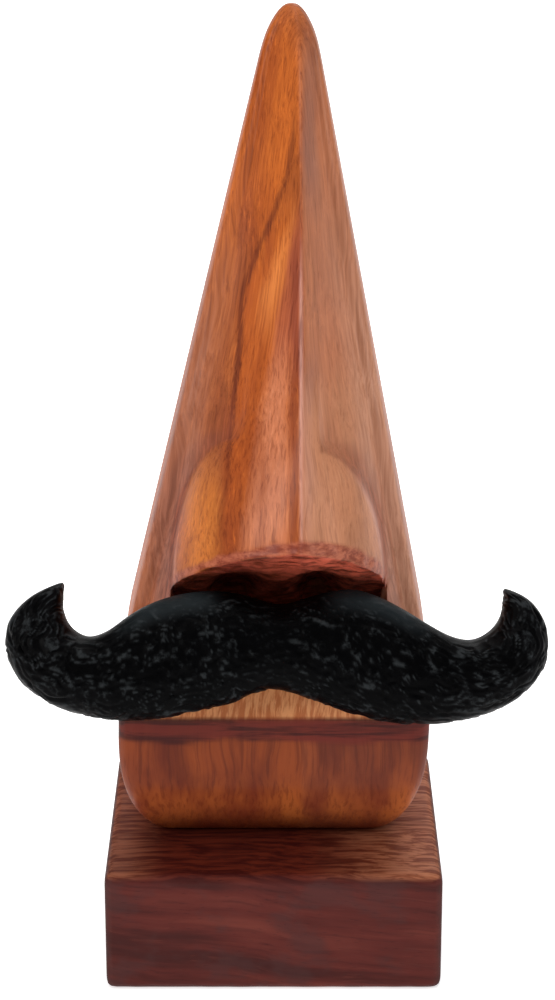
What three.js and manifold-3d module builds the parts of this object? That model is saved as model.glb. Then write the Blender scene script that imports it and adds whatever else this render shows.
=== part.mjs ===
// Nose-shaped eyeglasses stand: a carved hardwood nose on a plinth, with a black moustache glued to its lip.
// Millimetres. +X is the viewer's right, +Y runs to the back of the stand and +Z is up.
// The origin is the middle of the plinth's underside.

import * as THREE from 'three';
import { RoundedBoxGeometry } from 'three/addons/geometries/RoundedBoxGeometry.js';
import { mergeVertices } from 'three/addons/utils/BufferGeometryUtils.js';
import Module from 'manifold-3d';

const wasm = await Module();
wasm.setup();

// ---------------------------------------------------------------- driving dimensions

const GLUE_GAP = 0.3; // between two glued faces
const HOLE_CLEARANCE = 0.3; // round a screw or a pin, on the radius

// Plinth
const PLINTH_WIDTH = 57;
const PLINTH_DEPTH = 50.5;
const PLINTH_HEIGHT = 21.5;
const PLINTH_EDGE_RADIUS = 1.4;

// Nose blank, as sawn to its front outline. Heights are above the plinth's top.
const BODY_WIDTH = 52.6; // widest, at the lip
const BODY_HEIGHT = 138.8;
const BODY_BACK_INSET = 2; // behind the body, on the plinth
const CHIN_HEIGHT = 20; // where the round lower corners start
const CHIN_RADIUS = 36;
const TAPER_HEIGHT = 30.7; // where the sides start to lean in
const APEX_WIDTH = 9.8; // where the round top starts
const APEX_ROUNDING = 7.8; // height of the round top
const APEX_LEAN = 3; // the hand-sawn blank leans this far sideways at its top

// Nose blank, as sawn to its side outline. Depths are forward of the body's back.
const FOOT_DEPTH = 31;
const LIP_HEIGHT = 25;
const LIP_DEPTH = 41;
const LIP_BULGE = 3.4; // 1 is a straight slope from foot to lip, and more is a fuller lip
const SEAT_HEIGHT = 8; // of the flat that the moustache is glued to, above the lip
const SEAT_ANGLE = THREE.MathUtils.degToRad(20); // the seat leans back from upright
const LEDGE_RISE = 1.5; // of the shoulder that slopes up from the seat to the back
const LEDGE_FILLET = 2.4; // between the shoulder and the cheeks
const UNDERSIDE_CLEARANCE = 0.6; // between the nose's sawn underside and the top of the moustache's back
const UNDERSIDE_RISE = 10.9; // from there up to the nose's tip
const TIP_OVERHANG = 7.5; // of the tip, in front of the lip
const APEX_DEPTH = 13; // the ridge, where the round top starts
const APEX_CREST_DEPTH = 5.5; // the very top

// Carving
const SIDE_DEPTH_LOW = 13; // forward edge of the side wall, beside the nose's tip
const SIDE_DEPTH_TOP = 6.5; // and at the top
const RIDGE_X = 4.6; // the ridge is off centre
const RIDGE_RADIUS = 0.5;
const FLANK_POWER = 3.3; // of the round share of a flank, the rest being flat
const FLANK_ROUND_TOP = 0.05; // the round share high on the nose
const FLANK_ROUND_TIP = 0.8; // and at its tip
const FLANK_CHANGE = 34; // height over which one turns into the other
const RIDGE_LIMIT = 0.38; // the ridge is never further off centre than this share of the half width
const EDGE_RADIUS = 2.6; // upright front edges
const BACK_RADIUS = 1.2; // upright back edges
const CORNER_LIMIT = 0.3; // a corner's radius is never more than this share of the half width
const WING_WIDTH = 35.2; // across both nostril wings
const WING_HEIGHT = 26; // of a wing's arc, from where it is widest
const WING_ARC_INSET = 3; // the arc's centre, from the blank's middle
const WING_ARC_SHARE = 0.97; // of the arc's height, above which it runs straight on up the flanks
const WING_ROUNDING = 2; // of a wing's outer edge
const GOUGE_DEPTH = 5; // of the cheek round a wing, below the wing's face
const GOUGE_FADE = 6; // how fast the gouged cheek rises again
const GOUGE_CLIMB = 30; // height over which the gouge runs out, above the tip
const STEP_WIDTH = 0.8; // of the step itself
const NOSTRIL_X = 6.9;
const NOSTRIL_WIDTH = 10.4;
const NOSTRIL_LENGTH = 19;
const NOSTRIL_DEPTH = 7;

// Moustache
const MOUSTACHE_SPAN = 90.2;
const MOUSTACHE_THICKNESS = 11.5;
const MOUSTACHE_TIP_THICKNESS = 4.6;
const MOUSTACHE_EDGE_HEIGHT = 4.4; // its outline is widest this far in front of its back
const MOUSTACHE_TIP_LENGTH = 0.26; // share of the span over which a tip grows to the full thickness
const MOUSTACHE_TIP_POWER = 0.7; // less than 1 fills a tip out sooner
const MOUSTACHE_FRONT_POWER = 0.8; // less than 1 squares a cross-section, in front
const MOUSTACHE_BACK_POWER = 0.5; // and behind

// The moustache's edges in the seat's plane, [across, up] from the middle of the lip's edge, from each
// curled tip to the notch in the middle. The halves are carved by eye, so they aren't quite alike.
const OUTLINE_SPAN = 90.2;
const LEFT_LOWER_EDGE = [
  [-34.9, 23.4], [-40.4, 20.8], [-43.9, 16.8], [-44.4, 12], [-42, 7], [-37.6, 3.4], [-31.8, 1.2],
  [-25.4, 0.2], [-18.6, 0.6], [-11.6, 1.9], [-5.8, 3.5], [-0.6, 5.5],
];
const LEFT_UPPER_EDGE = [
  [-34.8, 23.2], [-34.9, 21], [-34.8, 18.5], [-33.4, 15.7], [-30.6, 14.2], [-27.4, 15.2], [-24.3, 17.5],
  [-20.5, 19.7], [-16, 21.2], [-10.6, 21.9], [-5, 21.3], [1, 19.5],
];
const RIGHT_UPPER_EDGE = [
  [38.1, 22.2], [38.1, 20.2], [37.6, 17.6], [36, 15.3], [33, 13.7], [29.6, 14.2], [25.6, 16.3],
  [21.4, 18.9], [17, 21.1], [12.8, 22.2], [7, 21.2], [1, 19.5],
];
const RIGHT_LOWER_EDGE = [
  [38.5, 22.3], [42.6, 20.2], [45.1, 16.4], [45.5, 11.4], [43.4, 6.7], [38.8, 3], [33.2, 0.7],
  [26.2, -0.4], [19.2, -0.1], [12, 1.6], [5.6, 4], [-0.6, 5.5],
];

// Fasteners
const SCREW_LENGTH = 35;
const SCREW_RADIUS = 2; // over the thread
const SCREW_CORE_RADIUS = 1.4;
const SCREW_PITCH = 1.8;
const SCREW_HEAD_RADIUS = 3.9;
const SCREW_HEAD_HEIGHT = 2.6;
const SCREW_HEAD_RIM = 0.4;
const SCREW_SHANK_LENGTH = 10.5; // the plain stretch under the head
const SCREW_POINT_LENGTH = 4.4;
const SCREW_SPACING = 22;
const SCREW_SINK = 0.6; // the head lies this far inside the plinth
const SLOT_WIDTH = 1; // of the cross recess
const SLOT_LENGTH = 4.5;
const SLOT_DEPTH = 1.5;
const PIN_RADIUS = 0.8;
const PIN_LENGTH = 16;
const PIN_IN_BODY = 10;
const PIN_SPACING = 20;
const PIN_HEIGHT = 4.4; // up the seat, from the lip

// ---------------------------------------------------------------- derived places

const BODY_BACK_Y = PLINTH_DEPTH / 2 - BODY_BACK_INSET;
const BODY_BASE_Z = PLINTH_HEIGHT + GLUE_GAP;
const TIP_DEPTH = LIP_DEPTH + TIP_OVERHANG;
const CAP_START = BODY_HEIGHT - APEX_ROUNDING;
const SEAT_TOP = LIP_HEIGHT + SEAT_HEIGHT;
const SEAT_TOP_DEPTH = LIP_DEPTH - SEAT_HEIGHT * Math.tan(SEAT_ANGLE);

// Where the sawn underside passes the seat's own plane, just above the moustache's back between the wings.
const MOUSTACHE_SCALE = MOUSTACHE_SPAN / OUTLINE_SPAN;
const UPPER_EDGE_HEIGHTS = [...LEFT_UPPER_EDGE, ...RIGHT_UPPER_EDGE]
  .filter(([across]) => Math.abs(across) * MOUSTACHE_SCALE < WING_WIDTH / 2)
  .map(([, up]) => up * MOUSTACHE_SCALE);
const PASS_HEIGHT = Math.max(...UPPER_EDGE_HEIGHTS) + UNDERSIDE_CLEARANCE;
const PASS_Z = LIP_HEIGHT + PASS_HEIGHT * Math.cos(SEAT_ANGLE);
const PASS_DEPTH = LIP_DEPTH - PASS_HEIGHT * Math.sin(SEAT_ANGLE);
const TIP_Z = PASS_Z + UNDERSIDE_RISE;
const UNDERSIDE_SLOPE = (TIP_DEPTH - PASS_DEPTH) / UNDERSIDE_RISE;

// The bottom of the notch, where the underside meets the ledge.
const LEDGE_SLOPE = SEAT_TOP_DEPTH / LEDGE_RISE;
const NOTCH_Z = (SEAT_TOP_DEPTH + LEDGE_SLOPE * SEAT_TOP - PASS_DEPTH + UNDERSIDE_SLOPE * PASS_Z)
  / (LEDGE_SLOPE + UNDERSIDE_SLOPE);
const NOTCH_DEPTH = TIP_DEPTH - (TIP_Z - NOTCH_Z) * UNDERSIDE_SLOPE;

const WING_Z = PASS_Z; // where the wings are widest
const WINGS_END = WING_Z + WING_HEIGHT;
const TAPER = (BODY_WIDTH - APEX_WIDTH) / 2 / (CAP_START - TAPER_HEIGHT);
const RIDGE_SLOPE = (TIP_DEPTH - APEX_DEPTH) / (CAP_START - TIP_Z);
const CHEEK_FOOT = SEAT_TOP + LEDGE_RISE * (1 - SIDE_DEPTH_LOW / SEAT_TOP_DEPTH);

const { lerp, clamp, smoothstep } = THREE.MathUtils;

// ---------------------------------------------------------------- solids

// A BufferGeometry as a manifold-3d solid, and back.
function toSolid(geometry, matrix = new THREE.Matrix4()) {
  let bare = geometry.clone();
  for (const name of Object.keys(bare.attributes)) {
    if (name !== 'position') bare.deleteAttribute(name);
  }
  bare = mergeVertices(bare.applyMatrix4(matrix), 1e-4);
  return new wasm.Manifold(new wasm.Mesh({
    numProp: 3,
    vertProperties: bare.attributes.position.array,
    triVerts: new Uint32Array(bare.index.array),
  }));
}

function toGeometry(solid) {
  const mesh = solid.getMesh();
  const geometry = new THREE.BufferGeometry();
  geometry.setAttribute('position', new THREE.BufferAttribute(new Float32Array(mesh.vertProperties), 3));
  geometry.setIndex(new THREE.BufferAttribute(new Uint32Array(mesh.triVerts), 1));
  geometry.computeVertexNormals();
  return geometry;
}

// Closes a stack of rings, all with the same number of points, into one body.
// The first ring is closed to the point `start` and the last ring to the point `end`.
function skin(rings, start, end) {
  const n = rings[0].length;
  const points = [...rings.flat(), start, end];
  const faces = [];
  for (let i = 0; i + 1 < rings.length; i++) {
    for (let j = 0; j < n; j++) {
      const a = i * n + j;
      const b = i * n + (j + 1) % n;
      faces.push(a, b, b + n, a, b + n, a + n);
    }
  }
  const last = (rings.length - 1) * n;
  for (let j = 0; j < n; j++) {
    const next = (j + 1) % n;
    faces.push(next, j, rings.length * n);
    faces.push(last + j, last + next, rings.length * n + 1);
  }
  const geometry = new THREE.BufferGeometry().setFromPoints(points);
  geometry.setIndex(faces);
  geometry.computeVertexNormals();
  return geometry;
}

// ---------------------------------------------------------------- the nose's outlines

// Middle of the blank at a height, which leans to one side.
const centre = (z) => APEX_LEAN * (z - CHIN_HEIGHT) / (BODY_HEIGHT - CHIN_HEIGHT);

// How much of the full section is left at a height in the round top: 1 at its start and 0 at the very top.
const capShare = (z) => Math.sqrt(1 - clamp((z - CAP_START) / APEX_ROUNDING, 0, 1) ** 2);

function halfWidth(z) {
  if (z < CHIN_HEIGHT) {
    const drop = CHIN_HEIGHT - z;
    return BODY_WIDTH / 2 - (CHIN_RADIUS - Math.sqrt(CHIN_RADIUS ** 2 - drop ** 2));
  }
  return (BODY_WIDTH / 2 - TAPER * Math.max(0, z - TAPER_HEIGHT)) * capShare(z);
}

// Half the distance between the outer edges of the two wings, and of the flanks above them.
function wingHalf(z) {
  const arc = (height) => {
    const rise = clamp((height - WING_Z) / WING_HEIGHT, 0, 1);
    return WING_ARC_INSET + (WING_WIDTH / 2 - WING_ARC_INSET) * Math.sqrt(1 - rise ** 2);
  };
  const end = WING_Z + WING_HEIGHT * WING_ARC_SHARE;
  return z <= end ? arc(z) : arc(end) * halfWidth(z) / halfWidth(end);
}

function ridgeX(z) {
  return centre(z) + Math.min(RIDGE_X - centre(z), RIDGE_LIMIT * halfWidth(z));
}

// The sawn plane of the seat, which the moustache is glued to.
const seatDepth = (z) => LIP_DEPTH - (z - LIP_HEIGHT) * Math.tan(SEAT_ANGLE);

// The lip, its seat and the ledge above it: how far forward they reach at a height.
function lipDepth(z) {
  if (z <= LIP_HEIGHT) return lerp(LIP_DEPTH, FOOT_DEPTH, (1 - z / LIP_HEIGHT) ** LIP_BULGE);
  if (z <= SEAT_TOP) return seatDepth(z);
  return SEAT_TOP_DEPTH * (1 - clamp((z - SEAT_TOP) / LEDGE_RISE, 0, 1));
}

// The sawn underside of the nose, with a nostril scooped out on each side.
function undersideDepth(x, z) {
  const plane = TIP_DEPTH - (TIP_Z - z) * UNDERSIDE_SLOPE;
  const hump = (distance, width) => Math.max(0, 1 - (2 * distance / width) ** 2) ** 2;
  const across = hump(Math.abs(x - centre(z)) - NOSTRIL_X, NOSTRIL_WIDTH);
  const along = hump(plane - (TIP_DEPTH + NOTCH_DEPTH) / 2, NOSTRIL_LENGTH);
  return plane - NOSTRIL_DEPTH * across * along;
}

// The nose's two flanks, from the ridge to the side walls, with the cheeks gouged out round the wings.
function noseDepth(x, z) {
  const top = ridgeX(z);
  const ridge = TIP_DEPTH - RIDGE_SLOPE * (z - TIP_Z);
  const side = lerp(SIDE_DEPTH_LOW, SIDE_DEPTH_TOP, (z - TIP_Z) / (CAP_START - TIP_Z));
  const round = lerp(FLANK_ROUND_TIP, FLANK_ROUND_TOP, smoothstep(z, TIP_Z, TIP_Z + FLANK_CHANGE));
  const run = x < top ? top - centre(z) + halfWidth(z) : centre(z) + halfWidth(z) - top;
  const out = Math.min(1, (Math.hypot(x - top, RIDGE_RADIUS) - RIDGE_RADIUS) / run);
  const flank = side + (ridge - side) * (1 - lerp(out, out ** FLANK_POWER, round));

  const past = Math.abs(x - centre(z)) - wingHalf(z);
  const outside = smoothstep(past, 0, STEP_WIDTH);
  const turn = clamp(past + WING_ROUNDING, 0, WING_ROUNDING);
  const rounded = WING_ROUNDING - Math.sqrt(WING_ROUNDING ** 2 - turn ** 2);
  const climb = 1 - smoothstep(z, TIP_Z, TIP_Z + GOUGE_CLIMB);
  const below = rounded + (GOUGE_DEPTH - WING_ROUNDING) * outside;
  const gouge = climb * below * Math.exp(-Math.max(0, past) / GOUGE_FADE);
  const reach = LEDGE_FILLET - clamp(z - CHEEK_FOOT, 0, LEDGE_FILLET);
  const fillet = outside * (LEDGE_FILLET - Math.sqrt(LEDGE_FILLET ** 2 - reach ** 2));
  return lerp(APEX_CREST_DEPTH, flank - gouge + fillet, capShare(z));
}

// How far forward the whole body reaches. The underside is sawn between the wings, and the cheeks
// outside them end flush with the seat's plane.
function bodyDepth(x, z) {
  if (z <= SEAT_TOP) return lipDepth(z);
  const outside = smoothstep(Math.abs(x - centre(z)) - wingHalf(z), 0, STEP_WIDTH);
  const underside = undersideDepth(x, z);
  const sawn = lerp(underside, Math.max(underside, seatDepth(z)), outside);
  return Math.max(Math.min(noseDepth(x, z), sawn), lipDepth(z));
}

// ---------------------------------------------------------------- the nose as a grid

// The front's columns, from the left edge to the right one. Each gives its place at a height:
// round edge, cheek, the step round the wing, flank, and then the ridge.
function frontColumns() {
  const half = [];
  const edgeSteps = 3;
  const cheekSteps = 5;
  const flankSteps = 9;
  for (let i = 0; i < edgeSteps; i++) half.push({ zone: 'edge', angle: i / edgeSteps * Math.PI / 2 });
  for (let i = 0; i < cheekSteps; i++) half.push({ zone: 'cheek', t: i / cheekSteps });
  half.push({ zone: 'step', out: STEP_WIDTH });
  half.push({ zone: 'step', out: STEP_WIDTH / 2 });
  for (let i = 0; i < flankSteps; i++) half.push({ zone: 'flank', t: i / flankSteps });
  const left = half.map((column) => ({ ...column, side: -1 }));
  const right = half.map((column) => ({ ...column, side: 1 })).reverse();
  return [...left, { zone: 'ridge' }, ...right];
}

function edgeRadius(z) {
  return Math.min(EDGE_RADIUS, CORNER_LIMIT * halfWidth(z));
}

function columnX(column, z) {
  const middle = centre(z);
  const inner = halfWidth(z) - edgeRadius(z);
  const wing = Math.min(wingHalf(z), inner - 2 * STEP_WIDTH * capShare(z));
  switch (column.zone) {
    case 'edge':
      return middle + column.side * (inner + edgeRadius(z) * Math.cos(column.angle));
    case 'cheek':
      return middle + column.side * lerp(inner, wing + 1.6 * STEP_WIDTH * capShare(z), column.t);
    case 'step':
      return middle + column.side * (wing + column.out * capShare(z));
    case 'flank':
      return lerp(middle + column.side * wing, ridgeX(z), (1 - Math.cos(Math.PI * column.t)) / 2);
    default:
      return ridgeX(z);
  }
}

function columnDepth(column, z) {
  if (column.zone !== 'edge') return bodyDepth(columnX(column, z), z);
  const inner = bodyDepth(centre(z) + column.side * (halfWidth(z) - edgeRadius(z)), z);
  return inner - edgeRadius(z) * (1 - Math.sin(column.angle));
}

// Height of the rim where a column's flank meets the underside, found by halving.
// The columns beside a wing take the height of its own corner.
function rimHeight(column) {
  if (column.zone !== 'flank' && column.zone !== 'ridge') {
    return rimHeight({ zone: 'flank', side: column.side, t: 0 });
  }
  let low = NOTCH_Z;
  let high = TIP_Z + 1;
  for (let i = 0; i < 40; i++) {
    const z = (low + high) / 2;
    const plane = TIP_DEPTH - (TIP_Z - z) * UNDERSIDE_SLOPE;
    if (noseDepth(columnX(column, z), z) > plane) low = z;
    else high = z;
  }
  return low;
}

// Heights of a column's rows. The lip's edge, the seat's top and the rim under the nose each lie on a row.
function rowHeights(rim) {
  const rows = [];
  const stretch = (from, to, count, ease = (t) => t) => {
    for (let i = 0; i < count; i++) rows.push(lerp(from, to, ease(i / count)));
  };
  stretch(0, LIP_HEIGHT, 9);
  stretch(LIP_HEIGHT, SEAT_TOP, 3);
  stretch(SEAT_TOP, NOTCH_Z, 3);
  stretch(NOTCH_Z, rim, 9);
  stretch(rim, WINGS_END, 12, (t) => 0.8 * t + 0.2 * t * t);
  stretch(WINGS_END, CAP_START, 13);
  stretch(CAP_START, BODY_HEIGHT, 5, (t) => Math.sin(t * Math.PI / 2));
  return rows;
}

function bodyGeometry() {
  const columns = frontColumns();
  const front = columns.map((column) => rowHeights(rimHeight(column)));
  const rings = front[0].map((edgeZ, row) => {
    const ring = columns.map((column, k) => {
      const z = front[k][row];
      return new THREE.Vector3(columnX(column, z), -columnDepth(column, z), z);
    });
    // Round the sides and the back, from the right edge to the left one.
    const middle = centre(edgeZ);
    const half = halfWidth(edgeZ);
    const radius = Math.min(BACK_RADIUS, CORNER_LIMIT * half);
    const back = APEX_CREST_DEPTH * (1 - capShare(edgeZ));
    const edge = columnDepth(columns[0], edgeZ);
    const rightEdge = columnDepth(columns.at(-1), edgeZ);
    const wall = (side, from) => [1, 2, 3].map((k) => new THREE.Vector3(
      middle + side * half, -lerp(from, back + radius * capShare(edgeZ), k / 3), edgeZ));
    const corner = (side) => new THREE.Vector3(
      middle + side * (half - radius * 0.3), -(back + radius * 0.3 * capShare(edgeZ)), edgeZ);
    const backRow = [1, 0.34, -0.34, -1].map((share) => new THREE.Vector3(
      middle + share * (half - radius), -back, edgeZ));
    return [...ring, ...wall(1, rightEdge), corner(1), ...backRow, corner(-1), ...wall(-1, edge).reverse()];
  });
  const foot = new THREE.Vector3(centre(0), -FOOT_DEPTH / 2, 0);
  const crest = new THREE.Vector3(centre(BODY_HEIGHT), -APEX_CREST_DEPTH, BODY_HEIGHT);
  return skin(rings, foot, crest);
}

// ---------------------------------------------------------------- the moustache

const STATIONS = 56; // cross-sections from tip to tip
const RING = 18; // points round a cross-section

function edgeCurve(left, right) {
  const points = [...left, ...right.slice(0, -1).reverse()]
    .map(([x, z]) => new THREE.Vector3(x, 0, z).multiplyScalar(MOUSTACHE_SCALE));
  return new THREE.CatmullRomCurve3(points, false, 'centripetal');
}

// How thick a cross-section is: 0 at a tip and 1 along the body of the moustache.
function fullness(t) {
  const fromTip = Math.min(t, 1 - t) / MOUSTACHE_TIP_LENGTH;
  return Math.sin(Math.PI / 2 * Math.min(1, fromTip)) ** MOUSTACHE_TIP_POWER;
}

function moustacheGeometry() {
  const lower = edgeCurve(LEFT_LOWER_EDGE, RIGHT_LOWER_EDGE);
  const upper = edgeCurve(LEFT_UPPER_EDGE, RIGHT_UPPER_EDGE);
  const rings = [];
  for (let i = 1; i < STATIONS; i++) {
    const t = i / STATIONS;
    const a = lower.getPoint(t);
    const b = upper.getPoint(t);
    const middle = a.clone().add(b).multiplyScalar(0.5);
    const across = b.clone().sub(a).multiplyScalar(0.5);
    const thickness = lerp(MOUSTACHE_TIP_THICKNESS, MOUSTACHE_THICKNESS, fullness(t));
    const edge = MOUSTACHE_EDGE_HEIGHT * thickness / MOUSTACHE_THICKNESS;
    const ring = [];
    for (let j = 0; j < RING; j++) {
      const angle = j / RING * 2 * Math.PI;
      const c = Math.cos(angle);
      const s = Math.sin(angle);
      // A round front, and a back that is flat but for its rounded edges.
      const power = s < 0 ? MOUSTACHE_BACK_POWER : MOUSTACHE_FRONT_POWER;
      const spread = Math.sign(c) * Math.abs(c) ** power;
      const rise = Math.abs(s) ** power;
      const forward = s >= 0 ? edge + (thickness - edge) * rise : edge * (1 - rise);
      const point = middle.clone().addScaledVector(across, spread);
      ring.push(point.setY(-forward));
    }
    rings.push(ring);
  }
  const tip = (curve, t) => curve.getPoint(t).setY(-MOUSTACHE_TIP_THICKNESS / 2);
  const start = tip(lower, 0).add(tip(upper, 0)).multiplyScalar(0.5);
  const end = tip(lower, 1).add(tip(upper, 1)).multiplyScalar(0.5);
  const geometry = skin(rings, start, end);
  return toSolid(geometry).volume() < 0 ? skin(rings.map((ring) => [...ring].reverse()), start, end) : geometry;
}

// ---------------------------------------------------------------- fasteners

// A woodscrew along +Z, its head's face at zero and its point at SCREW_LENGTH.
function screwGeometry() {
  const turnSteps = 12;
  const rowsPerTurn = 4;
  const threadStart = SCREW_HEAD_HEIGHT + SCREW_SHANK_LENGTH;
  const turns = (SCREW_LENGTH - threadStart) / SCREW_PITCH;
  const rows = Math.ceil(turns * rowsPerTurn);
  const rings = [];
  const ringAt = (z, radiusAt) => {
    const ring = [];
    for (let j = 0; j < turnSteps; j++) {
      const angle = j / turnSteps * 2 * Math.PI;
      const r = radiusAt(angle);
      ring.push(new THREE.Vector3(r * Math.cos(angle), r * Math.sin(angle), z));
    }
    return ring;
  };
  rings.push(ringAt(0, () => SCREW_HEAD_RADIUS));
  rings.push(ringAt(SCREW_HEAD_RIM, () => SCREW_HEAD_RADIUS));
  rings.push(ringAt(SCREW_HEAD_HEIGHT, () => SCREW_CORE_RADIUS + 0.3));
  for (let i = 0; i < rows; i++) {
    const z = lerp(threadStart, SCREW_LENGTH - 0.4, i / (rows - 1));
    const taper = clamp((SCREW_LENGTH - z) / SCREW_POINT_LENGTH, 0.08, 1);
    const grow = smoothstep(z, threadStart, threadStart + SCREW_PITCH);
    rings.push(ringAt(z, (angle) => {
      const phase = (((z / SCREW_PITCH - angle / (2 * Math.PI)) % 1) + 1) % 1;
      const crest = Math.max(0, 1 - Math.abs(phase - 0.5) * 4);
      return taper * (SCREW_CORE_RADIUS + (SCREW_RADIUS - SCREW_CORE_RADIUS) * crest * grow);
    }));
  }
  const blank = skin(rings, new THREE.Vector3(0, 0, 0), new THREE.Vector3(0, 0, SCREW_LENGTH));
  let solid = toSolid(blank);
  for (const [w, l] of [[SLOT_WIDTH, SLOT_LENGTH], [SLOT_LENGTH, SLOT_WIDTH]]) {
    solid = solid.subtract(toSolid(new THREE.BoxGeometry(w, l, 2 * SLOT_DEPTH)));
  }
  return toGeometry(solid);
}

// What a screw needs cut for it: a countersink and a straight hole, from its head's face downwards too.
function screwHoleSolid(x, y) {
  const wall = HOLE_CLEARANCE;
  const r = SCREW_RADIUS + wall;
  const head = SCREW_HEAD_RADIUS + wall;
  const profile = [
    [0, -SCREW_HEAD_HEIGHT], [head, -SCREW_HEAD_HEIGHT], [head, SCREW_HEAD_RIM + wall],
    [r, SCREW_HEAD_HEIGHT + wall], [r, SCREW_LENGTH + wall], [0, SCREW_LENGTH + wall + r / 2],
  ].map(([radius, height]) => new THREE.Vector2(radius, height));
  const cutter = new THREE.LatheGeometry(profile, 24).rotateX(Math.PI / 2);
  return toSolid(cutter, new THREE.Matrix4().makeTranslation(x, y, SCREW_SINK));
}

// A headless steel pin along +Z, with chamfered ends.
function pinGeometry() {
  const chamfer = PIN_RADIUS * 0.35;
  const profile = [
    [0, 0], [PIN_RADIUS - chamfer, 0], [PIN_RADIUS, chamfer],
    [PIN_RADIUS, PIN_LENGTH - chamfer], [PIN_RADIUS - chamfer, PIN_LENGTH], [0, PIN_LENGTH],
  ].map(([radius, height]) => new THREE.Vector2(radius, height));
  return new THREE.LatheGeometry(profile, 16).rotateX(Math.PI / 2);
}

// ---------------------------------------------------------------- assembly

const WOOD_FINISH = { roughness: 0.35, metalness: 0 };
const noseWood = new THREE.MeshStandardMaterial({ color: 0xa85a30, ...WOOD_FINISH });
const plinthWood = new THREE.MeshStandardMaterial({ color: 0x5c2c24, ...WOOD_FINISH });
const blackPaint = new THREE.MeshStandardMaterial({ color: 0x0c0c0d, roughness: 0.5, metalness: 0 });
const steel = new THREE.MeshStandardMaterial({ color: 0xb8b8b4, roughness: 0.35, metalness: 1 });

const root = new THREE.Group();

function add(parent, name, geometry, material) {
  const mesh = new THREE.Mesh(geometry, material);
  mesh.name = name;
  parent.add(mesh);
  return mesh;
}

// The seat's own frame: x across, z up the seat and y into the wood, from the middle of the lip's edge.
const seat = new THREE.Group();
seat.position.set(0, BODY_BACK_Y - LIP_DEPTH, BODY_BASE_Z + LIP_HEIGHT);
seat.rotation.x = -SEAT_ANGLE;
root.add(seat);
root.updateMatrixWorld(true);

const screwY = BODY_BACK_Y - FOOT_DEPTH / 2;
const screwPlaces = [['base_screw_left', -SCREW_SPACING / 2], ['base_screw_right', SCREW_SPACING / 2]];
const pinPlaces = [['moustache_pin_left', -PIN_SPACING / 2], ['moustache_pin_right', PIN_SPACING / 2]];

// Where a pin starts, inside the moustache, and the hole it needs there and in the lip.
const pinStart = (x) => new THREE.Vector3(x, PIN_IN_BODY - PIN_LENGTH, PIN_HEIGHT);
function pinHoleSolid(x) {
  const length = PIN_LENGTH + 2 * HOLE_CLEARANCE;
  const cutter = new THREE.CylinderGeometry(PIN_RADIUS + HOLE_CLEARANCE, PIN_RADIUS + HOLE_CLEARANCE, length, 16);
  const start = pinStart(x);
  return toSolid(cutter, new THREE.Matrix4().makeTranslation(start.x, start.y + PIN_LENGTH / 2, start.z));
}

// Plinth
let plinth = toSolid(new RoundedBoxGeometry(PLINTH_WIDTH, PLINTH_DEPTH, PLINTH_HEIGHT, 3, PLINTH_EDGE_RADIUS),
  new THREE.Matrix4().makeTranslation(0, 0, PLINTH_HEIGHT / 2));
for (const [, x] of screwPlaces) plinth = plinth.subtract(screwHoleSolid(x, screwY));
add(root, 'plinth', toGeometry(plinth), plinthWood);

// Nose, with the pilot holes for the screws and for the moustache's pins
const bodyPlace = new THREE.Matrix4().makeTranslation(0, BODY_BACK_Y, BODY_BASE_Z);
let body = toSolid(bodyGeometry(), bodyPlace);
for (const [, x] of screwPlaces) body = body.subtract(screwHoleSolid(x, screwY));
for (const [, x] of pinPlaces) {
  const hole = toGeometry(pinHoleSolid(x)).applyMatrix4(seat.matrixWorld);
  body = body.subtract(toSolid(hole));
}
add(root, 'nose_body', toGeometry(body), noseWood);

// Moustache, on its seat with the glue between
let moustache = toSolid(moustacheGeometry(), new THREE.Matrix4().makeTranslation(0, -GLUE_GAP, 0));
for (const [, x] of pinPlaces) moustache = moustache.subtract(pinHoleSolid(x));
add(seat, 'moustache', toGeometry(moustache), blackPaint);

for (const [name, x] of pinPlaces) {
  const pin = add(seat, name, pinGeometry(), steel);
  pin.position.copy(pinStart(x));
  pin.rotation.x = -Math.PI / 2;
}

for (const [name, x] of screwPlaces) {
  const screw = add(root, name, screwGeometry(), steel);
  screw.position.set(x, screwY, SCREW_SINK);
}

export default root;
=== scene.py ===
"""Eyeglasses stand: a carved rosewood nose with a black moustache, on a dark plinth.

Everything is in metres, in the stand's own frame: the origin is the middle of the plinth's underside,
+X is the viewer's right, -Y is the front and +Z is up.
"""

import math

import bmesh
import bpy
import numpy as np
from bpy.props import FloatProperty, FloatVectorProperty, IntProperty, PointerProperty
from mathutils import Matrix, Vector, noise


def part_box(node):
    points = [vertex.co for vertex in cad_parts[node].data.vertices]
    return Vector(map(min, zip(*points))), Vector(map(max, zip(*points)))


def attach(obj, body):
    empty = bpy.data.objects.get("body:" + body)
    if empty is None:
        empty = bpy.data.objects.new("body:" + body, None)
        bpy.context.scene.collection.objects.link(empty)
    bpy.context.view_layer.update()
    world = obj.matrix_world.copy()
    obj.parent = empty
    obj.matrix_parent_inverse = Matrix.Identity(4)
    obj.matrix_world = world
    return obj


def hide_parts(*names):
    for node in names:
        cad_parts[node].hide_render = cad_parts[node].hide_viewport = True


bl_info = {
    "name": "Carved Nose Stand",
    "version": (1, 0, 0),
    "blender": (4, 5, 0),
    "location": "View3D > Sidebar > Nose Stand",
    "description": "Builds a carved nose eyeglasses stand around its fixed frame",
    "category": "Object",
}

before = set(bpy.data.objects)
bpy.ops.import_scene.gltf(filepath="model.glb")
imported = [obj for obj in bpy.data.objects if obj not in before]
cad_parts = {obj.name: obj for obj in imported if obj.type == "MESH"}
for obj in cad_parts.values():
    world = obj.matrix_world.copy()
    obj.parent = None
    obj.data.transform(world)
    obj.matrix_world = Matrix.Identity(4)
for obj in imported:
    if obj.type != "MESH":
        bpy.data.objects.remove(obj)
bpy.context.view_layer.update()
MM = 0.001

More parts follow.
